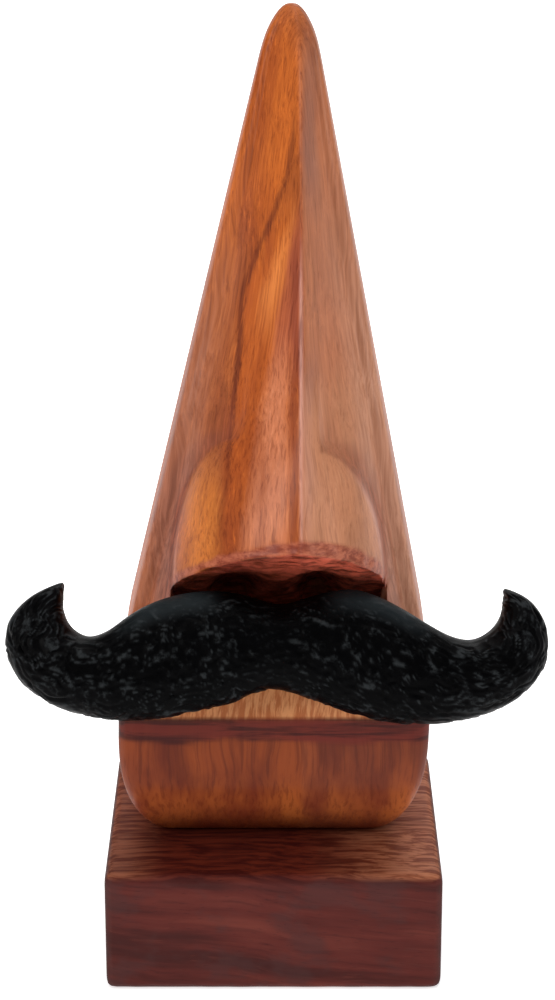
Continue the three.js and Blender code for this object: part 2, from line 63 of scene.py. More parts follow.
# Places on the stand, all measured from the frame.
PLINTH_LOW, PLINTH_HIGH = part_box("plinth")
BODY_LOW, BODY_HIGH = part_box("nose_body")
LIP_Z = BODY_LOW.z + 25 * MM
LIP_FRONT_Y = BODY_HIGH.y - 41 * MM
SEAT_LEAN = math.radians(20)
WING_MIDDLE = 0.8 * MM  # the nostril wings' own middle, across
WING_LOW = 46.4 * MM  # where they are widest, above the body's foot
WING_RISE = 26 * MM  # how far they climb from there
WING_ARC = 0.97  # the share of that climb which is round
WING_SPREAD = 17.6 * MM  # half their greatest width
WING_NARROW = 3 * MM  # half the width that the arc would close to
RIM_TIP_UP = 57.3 * MM  # the front end of the nose's sawn underside, above the body's foot
RIM_TIP_DEPTH = 48.5 * MM  # and in front of the body's back
FOOT = 21.8  # height of the body's foot in millimetres, for the materials
TIP_HEIGHT = 79.1  # height of the nose's tip and how far it reaches from the back, in millimetres
TIP_REACH = 48.5
RIDGE_LEAN = 0.4  # how far the ridge runs back for each length that it climbs
RIM_SLOPE = 1.4  # how far the sawn underside runs back for each length that it drops


# ---------------------------------------------------------------- settings

def colour(name, description, default):
    return FloatVectorProperty(name=name, description=description, default=default, subtype="COLOR",
                               size=3, min=0, max=1)


class NoseSettings(bpy.types.PropertyGroup):
    amber: colour("Amber", "Light wood of the nose's lit flank", (0.46, 0.105, 0.014))
    rust: colour("Rust", "Mid tone of the wood", (0.29, 0.055, 0.010))
    umber: colour("Umber", "Dark streaks and pores", (0.085, 0.012, 0.005))
    # the rose tone is partly the paler sapwood and partly a painted reflection on the steep right face
    rose: colour("Rose", "Paler, pinker sapwood on the right", (0.44, 0.152, 0.070))
    chisel_depth: FloatProperty(name="Chisel depth", description="Depth of the cuts under the nose",
                                default=0.00055, min=0, max=0.002, unit="LENGTH")
    chisel_size: FloatProperty(name="Chisel size", description="Width of one cut under the nose",
                               default=0.0024, min=0.0005, max=0.01, unit="LENGTH")
    lacquer_roughness: FloatProperty(name="Lacquer roughness", description="Roughness of the lacquer",
                                     default=0.26, min=0, max=1, subtype="FACTOR")
    smoothing: IntProperty(name="Smoothing", description="Subdivision levels", default=2, min=0, max=3)


class PlinthSettings(bpy.types.PropertyGroup):
    maroon: colour("Maroon", "Mid tone of the plinth's wood", (0.090, 0.014, 0.010))
    russet: colour("Russet", "Light bands in the plinth's wood", (0.150, 0.031, 0.020))
    ink: colour("Ink", "Dark bands in the plinth's wood", (0.034, 0.006, 0.005))
    wear: FloatProperty(name="Edge wear", description="How far the edges are worn and dented",
                        default=0.00022, min=0, max=0.001, unit="LENGTH")
    lacquer_roughness: FloatProperty(name="Lacquer roughness", description="Roughness of the lacquer",
                                     default=0.42, min=0, max=1, subtype="FACTOR")


class MoustacheSettings(bpy.types.PropertyGroup):
    paint: colour("Paint", "Black paint", (0.0008, 0.0008, 0.0010))
    hair_depth: FloatProperty(name="Hair depth", description="Depth of the chiselled hairs",
                              default=0.00026, min=0, max=0.001, unit="LENGTH")
    hair_width: FloatProperty(name="Hair width", description="Width of one chiselled hair",
                              default=0.0008, min=0.0003, max=0.004, unit="LENGTH")
    hair_length: FloatProperty(name="Hair length", description="Length of one chiselled hair",
                               default=0.0026, min=0.001, max=0.02, unit="LENGTH")
    smoothing: IntProperty(name="Smoothing", description="Subdivision levels", default=3, min=0, max=3)


class MetalSettings(bpy.types.PropertyGroup):
    zinc: colour("Zinc", "Zinc plate on the screws", (0.62, 0.60, 0.53))
    steel: colour("Steel", "Bright steel of the pins", (0.66, 0.66, 0.67))


class StageSettings(bpy.types.PropertyGroup):
    floor_radius: FloatProperty(name="Floor radius", description="Radius of the floor",
                                default=6, min=0.5, max=20, unit="LENGTH")
    lens: FloatProperty(name="Lens", description="Focal length of the camera in millimetres",
                        default=100.8, min=10, max=300)
    tilt: FloatProperty(name="Tilt", description="How far the camera looks down", default=math.radians(19.5),
                        min=0, max=math.pi / 2, subtype="ANGLE")
    place: FloatVectorProperty(name="Place", description="Where the camera stands",
                               default=(0.00067, -0.4465, 0.2377), subtype="TRANSLATION", size=3)


# ---------------------------------------------------------------- modelling

def only(piece):
    """Makes one object the only one that is selected, and the active one."""
    bpy.ops.object.select_all(action="DESELECT")
    piece.select_set(True)
    bpy.context.view_layer.objects.active = piece


def modifier(piece, kind, **settings):
    """Adds a modifier to a piece and applies it."""
    only(piece)
    bpy.ops.object.modifier_add(type=kind)
    added = piece.modifiers[-1]
    for key, value in settings.items():
        setattr(added, key, value)
    bpy.ops.object.modifier_apply(modifier=added.name)


def merged_copy(node, name):
    """Copies a CAD node's mesh into a new piece, joins its loose triangles and pairs them into quads."""
    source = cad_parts[node]
    only(source)
    bpy.ops.object.duplicate()
    piece = bpy.context.active_object
    piece.parent = None
    piece.name = name
    piece.data.name = name
    for key in [key for key in piece.keys() if key.startswith("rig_")]:
        del piece[key]
    piece.data.materials.clear()
    bpy.ops.object.mode_set(mode="EDIT")
    bpy.ops.mesh.select_all(action="SELECT")
    bpy.ops.mesh.remove_doubles(threshold=2e-6)
    bpy.ops.mesh.tris_convert_to_quads(face_threshold=math.radians(35), shape_threshold=math.radians(60))
    bpy.ops.mesh.customdata_custom_splitnormals_clear()
    bpy.ops.object.mode_set(mode="OBJECT")
    return piece


def read_points(piece):
    points = np.empty(len(piece.data.vertices) * 3)
    piece.data.vertices.foreach_get("co", points)
    return points.reshape(-1, 3)


def write_points(piece, points):
    piece.data.vertices.foreach_set("co", points.ravel())
    piece.data.update()


def read_normals(piece):
    normals = np.empty(len(piece.data.vertices) * 3)
    piece.data.vertices.foreach_get("normal", normals)
    return normals.reshape(-1, 3)


def write_share(piece, name, values):
    """Stores one number for each vertex, for a material to read."""
    layer = piece.data.attributes.new(name, "FLOAT", "POINT")
    layer.data.foreach_set("value", np.asarray(values, float))


def step(values, low, high):
    """Rises smoothly from 0 at low to 1 at high."""
    t = np.clip((values - low) / (high - low), 0, 1)
    return t * t * (3 - 2 * t)


def crease_edges(piece, crispness):
    """Creases each edge by what crispness(edge, angle) gives, so that smoothing keeps it."""
    mesh = bmesh.new()
    mesh.from_mesh(piece.data)
    layer = mesh.edges.layers.float.new("crease_edge")
    for edge in mesh.edges:
        edge[layer] = crispness(edge, math.degrees(edge.calc_face_angle(0)))
    mesh.to_mesh(piece.data)
    mesh.free()


def smooth_faces(piece, angle=math.radians(60)):
    only(piece)
    bpy.ops.object.shade_smooth_by_angle(angle=angle)


def finish_piece(piece, material, slot, *nodes):
    piece.data.materials.clear()
    piece.data.materials.append(material)
    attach(piece, "root")
    if nodes:
        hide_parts(*nodes)


# ---------------------------------------------------------------- materials

class Shader:
    """A material being built: each method adds one node and gives back its output socket."""

    def __init__(self, name):
        self.material = bpy.data.materials.new(name)
        self.material.use_nodes = True
        self.tree = self.material.node_tree
        self.tree.nodes.clear()
        self.output = self.tree.nodes.new("ShaderNodeOutputMaterial")

    def node(self, kind, inputs=None, **settings):
        node = self.tree.nodes.new("ShaderNode" + kind)
        for key, value in settings.items():
            setattr(node, key, value)
        for key, value in (inputs or {}).items():
            socket = node.inputs[key]
            if isinstance(value, bpy.types.NodeSocket):
                self.tree.links.new(value, socket)
            else:
                socket.default_value = value
        return node

    def millimetres(self):
        place = self.node("TexCoord").outputs["Object"]
        return self.node("VectorMath", {0: place, "Scale": 1000.0}, operation="SCALE").outputs[0]

    def stretch(self, vector, scale, shift=(0, 0, 0)):
        return self.node("Mapping", {"Vector": vector, "Scale": scale, "Location": shift}).outputs[0]

    def math(self, operation, first, second=0.0, clamp=False):
        return self.node("Math", {0: first, 1: second}, operation=operation, use_clamp=clamp).outputs[0]

    def noise(self, vector, scale=1.0, detail=2.0, roughness=0.5, distortion=0.0):
        return self.node("TexNoise", {"Vector": vector, "Scale": scale, "Detail": detail,
                                      "Roughness": roughness, "Distortion": distortion}).outputs["Fac"]

    def voronoi(self, vector, scale=1.0, feature="F1", randomness=1.0):
        return self.node("TexVoronoi", {"Vector": vector, "Scale": scale, "Randomness": randomness},
                         feature=feature).outputs["Distance"]

    def rise(self, value, low, high, to_low=0.0, to_high=1.0):
        """Maps a value smoothly from low..high to to_low..to_high, and holds it outside."""
        return self.node("MapRange", {"Value": value, "From Min": low, "From Max": high,
                                      "To Min": to_low, "To Max": to_high},
                         interpolation_type="SMOOTHSTEP").outputs["Result"]

    def bump_window(self, value, middle, half):
        """1 at the middle of a band and 0 past its half width."""
        offset = self.math("ABSOLUTE", self.math("SUBTRACT", value, middle))
        return self.rise(offset, half, 0.0)

    def between(self, value, low, high, soft=0.3):
        """1 where a value lies between low and high, with soft ends."""
        above = self.rise(self.math("SUBTRACT", value, low), -soft, soft)
        below = self.rise(self.math("SUBTRACT", high, value), -soft, soft)
        return self.math("MULTIPLY", above, below)

    def attribute(self, name):
        return self.node("Attribute", attribute_name=name).outputs["Fac"]

    def mix(self, share, first, second, blend="MIX"):
        node = self.tree.nodes.new("ShaderNodeMix")
        node.data_type = "RGBA"
        node.blend_type = blend
        for socket, value in ((node.inputs[0], share), (node.inputs[6], first), (node.inputs[7], second)):
            if isinstance(value, bpy.types.NodeSocket):
                self.tree.links.new(value, socket)
            else:
                socket.default_value = value if isinstance(value, float) else (*value[:3], 1.0)
        return node.outputs[2]

    def bump(self, height, distance, strength=1.0, normal=None):
        inputs = {"Height": height, "Distance": distance, "Strength": strength}
        if normal:
            inputs["Normal"] = normal
        return self.node("Bump", inputs).outputs[0]

    def finish(self, inputs):
        surface = self.node("BsdfPrincipled", inputs)
        self.tree.links.new(surface.outputs[0], self.output.inputs["Surface"])
        return self.material


def rosewood_nose(settings):
    """Lacquered rosewood with upright grain: amber with dark streaks on the left, rosier on the right, partly as a
    painted reflection.
    """
    s = Shader("rosewood_nose")
    place = s.millimetres()
    axes = s.node("SeparateXYZ", {0: place})
    x, y, z = axes.outputs[0], axes.outputs[1], axes.outputs[2]

    # The grain wanders as it climbs.
    wander = s.math("MULTIPLY", s.math("SUBTRACT", s.noise(s.stretch(place, (0.03, 0.03, 0.022)), 1.0, 3.0), 0.5), 9.0)
    ripple = s.math("MULTIPLY", s.math("SUBTRACT", s.noise(s.stretch(place, (0.25, 0.25, 0.09)), 1.0, 2.0), 0.5), 1.3)
    across = s.math("ADD", x, s.math("ADD", wander, ripple))

    # It runs straight up the back and leans with the ridge at the front.
    climb = s.math("MAXIMUM", s.math("SUBTRACT", z, TIP_HEIGHT), 0.0)
    reach = s.math("SUBTRACT", TIP_REACH, s.math("MULTIPLY", climb, RIDGE_LEAN))
    behind = s.math("SUBTRACT", y, BODY_HIGH.y / MM)
    fanned = s.math("MULTIPLY", s.math("DIVIDE", behind, reach), 40.0)

    # Broad soft bands and finer threads, long in the grain's direction.
    warped = s.node("CombineXYZ", {0: across, 1: fanned, 2: z}).outputs[0]
    broad = s.noise(s.stretch(warped, (0.17, 0.10, 0.006)), 1.0, 3.0, 0.55)
    threads = s.noise(s.stretch(warped, (1.5, 0.9, 0.028)), 1.0, 4.0, 0.62)
    fine = s.noise(s.stretch(warped, (5.0, 3.0, 0.055)), 1.0, 3.0, 0.6)

    colour_now = s.mix(s.rise(broad, 0.38, 0.62), settings.rust, settings.amber)
    colour_now = s.mix(s.math("MULTIPLY", s.rise(threads, 0.48, 0.30), 0.42), colour_now, settings.umber)
    colour_now = s.mix(s.math("MULTIPLY", s.rise(threads, 0.54, 0.72), 0.5), colour_now,
                       tuple(min(1, c * 1.5) for c in settings.amber))

    # The right side of the blank is rosier and cloudy rather than streaked: partly paler sapwood, partly a painted
    # reflection washing over its steep face, strongest at the front.
    clouds = s.noise(s.stretch(warped, (0.14, 0.12, 0.030), (4, 2, 9)), 1.0, 4.0, 0.60)
    forward = s.rise(y, 20.0, -4.0, 0.25, 1.0)
    crisp = s.rise(y, 18.0, -4.0, 0.05, 1.0)
    rosy_and_sheen = s.math("ADD", s.math("SUBTRACT", x, 4.7), s.math("MULTIPLY", ripple, 0.5))
    rosy_and_sheen = s.rise(s.math("MULTIPLY", rosy_and_sheen, crisp), -0.5, 0.5)
    rose_and_sheen_now = s.mix(s.rise(clouds, 0.36, 0.60), tuple(0.80 * c for c in settings.rose), settings.rose)
    rose_and_sheen_now = s.mix(s.math("MULTIPLY", s.rise(threads, 0.46, 0.32), 0.35), rose_and_sheen_now,
                     tuple(0.45 * c for c in settings.rose))
    rose_and_sheen_now = s.mix(s.math("MULTIPLY", s.rise(threads, 0.54, 0.68), 0.4), rose_and_sheen_now, (0.56, 0.20, 0.085))
    colour_now = s.mix(s.math("MULTIPLY", rosy_and_sheen, 0.95), colour_now, rose_and_sheen_now)

    # Two growth rings run down the left flank away from the ridge, with different wood between them.
    sway = s.math("MULTIPLY", s.math("SUBTRACT", s.noise(s.stretch(place, (0.01, 0.01, 0.06)), 1.0, 2.0), 0.5), 2.6)
    frayed = s.math("ADD", s.math("ADD", x, sway), s.math("MULTIPLY", s.math("SUBTRACT", fine, 0.5), 1.5))
    outer_ring = s.math("ADD", s.rise(z, 88.0 + FOOT, 122.0 + FOOT, -5.4, 3.9),
                        s.math("MULTIPLY", s.math("MINIMUM", s.math("SUBTRACT", z, 88.0 + FOOT), 0.0), 0.1))
    inner_ring = s.math("ADD", s.math("MULTIPLY", s.math("SUBTRACT", z, 104.0 + FOOT), 0.17), 2.8)
    ring_left = s.math("SUBTRACT", outer_ring, 0.45)
    ring_right = s.math("ADD", outer_ring, 0.35)
    honey, ember, oxblood = (0.74, 0.235, 0.055), (0.43, 0.090, 0.014), (0.15, 0.022, 0.014)
    brown, gold, pink = (0.34, 0.100, 0.034), (0.66, 0.205, 0.032), (0.60, 0.225, 0.125)
    # (left edge, right edge, softness, low, high, colour, strength)
    zones = (
        (-40.0, 3.6, 1.2, 106, 170, (0.56, 0.130, 0.018), 0.50),
        (-40.0, ring_left, 1.0, 62, 100, brown, 0.55),
        (ring_right, inner_ring, 0.9, 64, 100, ember, 0.58),
        (s.math("ADD", ring_right, 2.6), inner_ring, 1.2, 90, 112, honey, 0.66),
        (inner_ring, 4.5, 0.7, 84, 108, (0.36, 0.085, 0.040), 0.70),
        (inner_ring, 2.5, 1.3, 56, 86, pink, 0.55),
        (ring_right, 4.3, 0.7, 108, 119, (0.16, 0.038, 0.012), 0.62),
        (ring_left, ring_right, 0.35, 64, 122, settings.umber, 0.72),
        (2.7, 4.2, 0.6, 56, 104, oxblood, 0.58),
        (-14.5, -8.6, 1.8, 44, 66, gold, 0.55),
        (-8.4, -7.2, 0.7, 46, 72, settings.rust, 0.60),
        (-2.2, -1.2, 0.7, 50, 74, settings.rust, 0.45),
        (4.9, 7.4, 0.8, 110, 134, (0.17, 0.085, 0.075), 0.55),
        # painted sheen just right of the lower ridge
        (4.8, 6.6, 0.8, 57, 84, (0.55, 0.285, 0.225), 0.30),
        # the right wing paler and pinker, partly as a painted reflection
        (5.2, 17.5, 2.0, 44, 80, (0.58, 0.275, 0.145), 0.42),
    )
    for left, right, soft, low, high, tone, strength in zones:
        band = s.between(frayed, left, right, soft)
        window = s.math("MULTIPLY", s.between(z, low + FOOT, high + FOOT, 6.0), forward)
        share = s.math("MULTIPLY", s.math("MULTIPLY", band, window), strength)
        colour_now = s.mix(share, colour_now, tone)

    # A pale line is painted along the ridge and along the edges of the wings, as a painted highlight on the front.
    front = s.rise(y, -2.0, -8.0)
    ridge_highlight = s.math("MULTIPLY", s.between(x, 4.25, 4.75, 0.3), s.between(z, 56.0 + FOOT, 112.0 + FOOT, 9.0))
    wing_climb = s.math("DIVIDE", s.math("SUBTRACT", z, WING_LOW / MM + FOOT), WING_RISE / MM)
    wing_climb = s.math("MINIMUM", s.math("MAXIMUM", wing_climb, 0.0), WING_ARC)
    arc = s.math("SQRT", s.math("SUBTRACT", 1.0, s.math("MULTIPLY", wing_climb, wing_climb)))
    arc = s.math("ADD", s.math("MULTIPLY", arc, (WING_SPREAD - WING_NARROW) / MM), WING_NARROW / MM)
    from_middle = s.math("ABSOLUTE", s.math("SUBTRACT", x, WING_MIDDLE / MM))
    wing_edge_highlight = s.bump_window(s.math("SUBTRACT", from_middle, arc), 0.0, 0.5)
    wing_edge_highlight = s.math("MULTIPLY", wing_edge_highlight, s.between(z, 42.0 + FOOT, 64.0 + FOOT, 5.0))
    painted_highlight = s.math("MULTIPLY", front, s.math("ADD", s.math("MULTIPLY", ridge_highlight, 0.5), s.math("MULTIPLY", wing_edge_highlight, 0.34)))
    colour_now = s.mix(painted_highlight, colour_now, (0.66, 0.38, 0.32))

    # The same grain runs through every zone.
    darker = s.mix(1.0, colour_now, (0.46, 0.34, 0.30), "MULTIPLY")
    lighter = s.mix(1.0, colour_now, (1.35, 1.55, 1.7), "MULTIPLY")
    strands = s.noise(s.stretch(warped, (2.4, 1.8, 0.030), (7, 3, 2)), 1.0, 4.0, 0.62)
    calm = s.math("SUBTRACT", 1.0, s.math("MULTIPLY", rosy_and_sheen, 0.45))
    colour_now = s.mix(s.math("MULTIPLY", s.math("MULTIPLY", s.rise(strands, 0.50, 0.34), 0.62), calm), colour_now, darker)
    colour_now = s.mix(s.math("MULTIPLY", s.math("MULTIPLY", s.rise(strands, 0.54, 0.70), 0.50), calm), colour_now, lighter)
    colour_now = s.mix(s.math("MULTIPLY", s.math("MULTIPLY", s.rise(clouds, 0.50, 0.34), 0.30), calm), colour_now, darker)
    colour_now = s.mix(s.math("MULTIPLY", s.rise(fine, 0.48, 0.34), 0.24), colour_now, darker)

    # End grain and whatever was left rough from the knife soak up more stain. The cheeks are darker and redder, partly
    # as painted shade in the recess beside the wings; the knife-cut underside also carries painted shade, the lip
    # painted shade under the moustache, the seat painted light, and the blank's sides a pale painted reflection.
    # cheeks: darker red, partly painted shade, deepest next to the wings' walls
    cheek_tone = s.mix(s.rise(threads, 0.40, 0.62), (0.14, 0.030, 0.016), (0.27, 0.068, 0.036))
    colour_now = s.mix(s.math("MULTIPLY", s.attribute("cheek"), 0.9), colour_now, cheek_tone)
    # the sides: a pale, pinker painted reflection near the blank's edges, stronger on the right
    side_reflection_tone = s.mix(s.rise(threads, 0.62, 0.36), (0.49, 0.225, 0.145), (0.35, 0.140, 0.082))
    side_reflection_tone = s.mix(s.rise(x, -2.0, 6.0), side_reflection_tone, s.mix(1.0, side_reflection_tone, (1.15, 1.25, 1.22), "MULTIPLY"))
    side_reflection_share = s.rise(x, -2.0, 6.0, 0.42, 0.78)
    colour_now = s.mix(s.math("MULTIPLY", s.attribute("side_reflection"), side_reflection_share), colour_now, side_reflection_tone)
    # the seat under the moustache: brighter orange as painted light falling on its upward-facing slope
    seat_light_tone = s.mix(s.rise(threads, 0.40, 0.62), (0.48, 0.150, 0.055), (0.74, 0.33, 0.14))
    colour_now = s.mix(s.math("MULTIPLY", s.attribute("seat"), 0.85), colour_now, seat_light_tone)
    patches = s.noise(s.stretch(place, (0.16, 0.05, 0.06), (5, 0, 3)), 1.0, 3.0, 0.55)
    # the lip: its wood darkened as painted shade under the moustache
    lip_shade_tone = s.mix(s.rise(patches, 0.30, 0.68), (0.165, 0.027, 0.011), (0.38, 0.094, 0.022))
    lip_shade_tone = s.mix(s.math("MULTIPLY", s.rise(threads, 0.52, 0.36), 0.45), lip_shade_tone, (0.10, 0.013, 0.006))
    # painted shade: darker towards the top, under the moustache
    lip_shade_tone = s.mix(s.rise(z, FOOT + 6.0, FOOT + 15.0), lip_shade_tone, s.mix(1.0, lip_shade_tone, (0.56, 0.42, 0.36), "MULTIPLY"))
    # painted shade at the lip's rounded foot
    lip_shade_tone = s.mix(s.rise(z, FOOT + 5.5, FOOT + 0.5, 0.0, 0.35), lip_shade_tone, (0.085, 0.012, 0.005))
    colour_now = s.mix(s.math("MULTIPLY", s.attribute("lip"), 0.92), colour_now, lip_shade_tone)
    layers = s.noise(s.stretch(place, (0.06, 0.25, 0.9), (3, 1, 7)), 1.0, 4.0, 0.6, 0.4)
    band_tone = s.mix(s.rise(layers, 0.40, 0.60), (0.040, 0.004, 0.003), (0.125, 0.014, 0.008))
    colour_now = s.mix(s.math("MULTIPLY", s.attribute("end_grain"), 0.93), colour_now, band_tone)
    flecks = s.noise(s.stretch(place, (0.30, 0.5, 0.9)), 1.0, 4.0, 0.65)
    rim_tone = s.mix(s.rise(flecks, 0.36, 0.62), (0.17, 0.022, 0.013), (0.42, 0.115, 0.062))
    colour_now = s.mix(s.math("MULTIPLY", s.attribute("rim"), 0.82), colour_now, rim_tone)
    # the knife-cut underside: rough-cut wood darkened further as painted shade under the nose
    cut_shade_tone = s.mix(s.rise(flecks, 0.35, 0.65), (0.050, 0.005, 0.003), (0.30, 0.055, 0.034))
    # painted light: the underside lighter on the right
    cut_shade_tone = s.mix(s.rise(x, -4.0, 9.0), cut_shade_tone, s.mix(1.0, cut_shade_tone, (1.7, 1.6, 1.5), "MULTIPLY"))
    colour_now = s.mix(s.math("MULTIPLY", s.attribute("hand_cut"), 0.92), colour_now, cut_shade_tone)

    # Pores: long fine dashes along the grain.
    pores = s.voronoi(s.stretch(warped, (2.6, 2.2, 0.085)), 1.0)
    pore = s.math("MULTIPLY", s.rise(pores, 0.20, 0.06), s.rise(broad, 0.3, 0.6))
    colour_now = s.mix(s.math("MULTIPLY", pore, 0.20), colour_now, settings.umber)

    grain_height = s.math("SUBTRACT", s.math("MULTIPLY", fine, 0.5), s.math("MULTIPLY", pore, 0.6))
    relief = s.bump(grain_height, 0.00008, 0.3)
    flat = s.bump(s.noise(s.stretch(place, (0.10, 0.10, 0.04)), 1.0, 2.0), 0.0012, 0.22)
    rough = s.rise(fine, 0.3, 0.7, settings.lacquer_roughness + 0.2, settings.lacquer_roughness + 0.34)
    return s.finish({"Base Color": colour_now, "Roughness": rough, "Normal": relief,
                     "Specular IOR Level": 0.1, "Coat Weight": 0.14,
                     "Coat Roughness": settings.lacquer_roughness, "Coat IOR": 1.45, "Coat Normal": flat})


def rosewood_plinth(settings):
    """Darker rosewood whose grain lies from side to side, under a thinner lacquer."""
    s = Shader("rosewood_plinth")
    place = s.millimetres()
    axes = s.node("SeparateXYZ", {0: place})
    sway = s.math("MULTIPLY", s.math("SUBTRACT", s.noise(s.stretch(place, (0.03, 0.03, 0.03)), 1.0, 3.0), 0.5), 7.0)
    tilt = s.math("MULTIPLY", axes.outputs[0], 0.10)
    height = s.math("ADD", s.math("ADD", axes.outputs[2], sway), tilt)
    depth = s.math("ADD", axes.outputs[1], sway)
    warped = s.node("CombineXYZ", {0: axes.outputs[0], 1: depth, 2: height}).outputs[0]
    broad = s.noise(s.stretch(warped, (0.018, 0.14, 0.16), (2, 5, 1)), 1.0, 3.0, 0.55)
    threads = s.noise(s.stretch(warped, (0.06, 1.1, 1.2)), 1.0, 4.0, 0.62)
    fine = s.noise(s.stretch(warped, (0.25, 4.5, 4.5)), 1.0, 3.0, 0.6)
    colour_now = s.mix(s.rise(broad, 0.42, 0.66), settings.maroon, settings.russet)
    colour_now = s.mix(s.math("MULTIPLY", s.rise(broad, 0.46, 0.30), 0.75), colour_now, settings.ink)
    colour_now = s.mix(s.math("MULTIPLY", s.rise(threads, 0.50, 0.32), 0.38), colour_now, settings.ink)
    colour_now = s.mix(s.math("MULTIPLY", s.rise(threads, 0.55, 0.70), 0.25), colour_now, settings.russet)
    patches = s.noise(s.stretch(place, (0.09, 0.12, 0.13), (1, 4, 2)), 1.0, 3.0, 0.6)
    colour_now = s.mix(s.math("MULTIPLY", s.rise(patches, 0.52, 0.36), 0.5), colour_now, (0.055, 0.020, 0.019))
    # The top is darkened as painted shade from the body standing on it, and is paler towards its right end, less so its
    # left, as a painted reflection.
    top_shade_and_sheen_tone = s.mix(s.rise(threads, 0.38, 0.62), (0.045, 0.004, 0.003), (0.125, 0.018, 0.008))
    top_sheen_tone = s.mix(s.rise(threads, 0.38, 0.62), (0.20, 0.045, 0.018), (0.50, 0.19, 0.095))
    sheen_place = s.math("ADD", axes.outputs[0], s.math("MULTIPLY", s.math("SUBTRACT", fine, 0.5), 6.0))
    top_shade_and_sheen_tone = s.mix(s.rise(sheen_place, 4.0, 28.0), top_shade_and_sheen_tone, top_sheen_tone)
    top_shade_and_sheen_tone = s.mix(s.math("MULTIPLY", s.rise(sheen_place, -17.0, -27.0), 0.45), top_shade_and_sheen_tone, top_sheen_tone)
    colour_now = s.mix(s.math("MULTIPLY", s.attribute("top"), 0.9), colour_now, top_shade_and_sheen_tone)
    colour_now = s.mix(s.math("MULTIPLY", s.attribute("ends"), 0.5), colour_now, settings.ink)
    pores = s.voronoi(s.stretch(warped, (0.30, 2.3, 2.3)), 1.0)
    pore = s.rise(pores, 0.22, 0.07)
    colour_now = s.mix(s.math("MULTIPLY", pore, 0.45), colour_now, settings.ink)
    relief = s.bump(s.math("SUBTRACT", s.math("MULTIPLY", fine, 0.5), pore), 0.00010, 0.4)
    flat = s.bump(s.noise(s.stretch(place, (0.06, 0.10, 0.10)), 1.0, 2.0), 0.0012, 0.25)
    rough = s.rise(fine, 0.3, 0.7, settings.lacquer_roughness + 0.1, settings.lacquer_roughness + 0.25)
    return s.finish({"Base Color": colour_now, "Roughness": rough, "Normal": relief,
                     "Specular IOR Level": 0.1, "Coat Weight": 0.08,
                     "Coat Roughness": settings.lacquer_roughness, "Coat IOR": 1.45, "Coat Normal": flat})


def black_paint(settings):
    """Black paint brushed over chiselled wood, matt in the cuts, with painted blue-grey glints on the crests and a
    painted sheen on the upward humps.
    """
    s = Shader("black_paint")
    place = s.millimetres()
    crest = s.attribute("crest")
    brushed = s.noise(place, 0.45, 4.0, 0.65)
    # painted blue-grey glints on the crests, where the brushed noise allows
    crest_glints = s.math("MULTIPLY", crest, s.rise(brushed, 0.42, 0.62))
    colour_now = s.mix(s.math("MULTIPLY", crest_glints, 0.8), settings.paint, (0.026, 0.029, 0.031))
    # painted sheen on the upward-facing humps
    colour_now = s.mix(s.math("MULTIPLY", s.attribute("hump_sheen"), 0.60), colour_now, (0.020, 0.026, 0.029))
    rough = s.rise(brushed, 0.3, 0.7, 0.34, 0.52)
    grain = s.bump(s.noise(place, 3.2, 3.0, 0.6), 0.00008, 0.5)
    return s.finish({"Base Color": colour_now, "Roughness": rough, "Normal": grain, "Specular IOR Level": 0.03})


def zinc_plate(settings):
    """Yellowish zinc plate with a faint spangle."""
    s = Shader("zinc_plate")
    place = s.millimetres()
    cloud = s.noise(place, 0.8, 3.0, 0.6)
    colour_now = s.mix(s.rise(cloud, 0.4, 0.65), settings.zinc, tuple(0.75 * c for c in settings.zinc))
    rough = s.rise(s.noise(place, 2.5, 2.0), 0.35, 0.65, 0.24, 0.42)
    relief = s.bump(s.noise(s.stretch(place, (1, 1, 6)), 2.0, 2.0), 0.00003, 0.4)
    return s.finish({"Base Color": colour_now, "Metallic": 1.0, "Roughness": rough, "Normal": relief})


def drawn_steel(settings):
    """Bright wire with fine lines along its length."""
    s = Shader("drawn_steel")
    place = s.millimetres()
    lines = s.noise(s.stretch(place, (6, 0.4, 6)), 1.0, 2.0)
    colour_now = s.mix(s.rise(lines, 0.35, 0.65), settings.steel, tuple(0.8 * c for c in settings.steel))
    rough = s.rise(lines, 0.35, 0.65, 0.22, 0.38)
    return s.finish({"Base Color": colour_now, "Metallic": 1.0, "Roughness": rough,
                     "Normal": s.bump(lines, 0.00002, 0.4)})


def pale_floor():
    """Matt pale paper."""
    s = Shader("pale_floor")
    tone = s.mix(s.noise(s.millimetres(), 0.004, 2.0), (0.90, 0.90, 0.90), (0.93, 0.93, 0.93))
    return s.finish({"Base Color": tone, "Roughness": 0.9, "Specular IOR Level": 0.0,
                     "Emission Color": (1.0, 1.0, 1.0, 1.0), "Emission Strength": 0.55})


# ---------------------------------------------------------------- operators

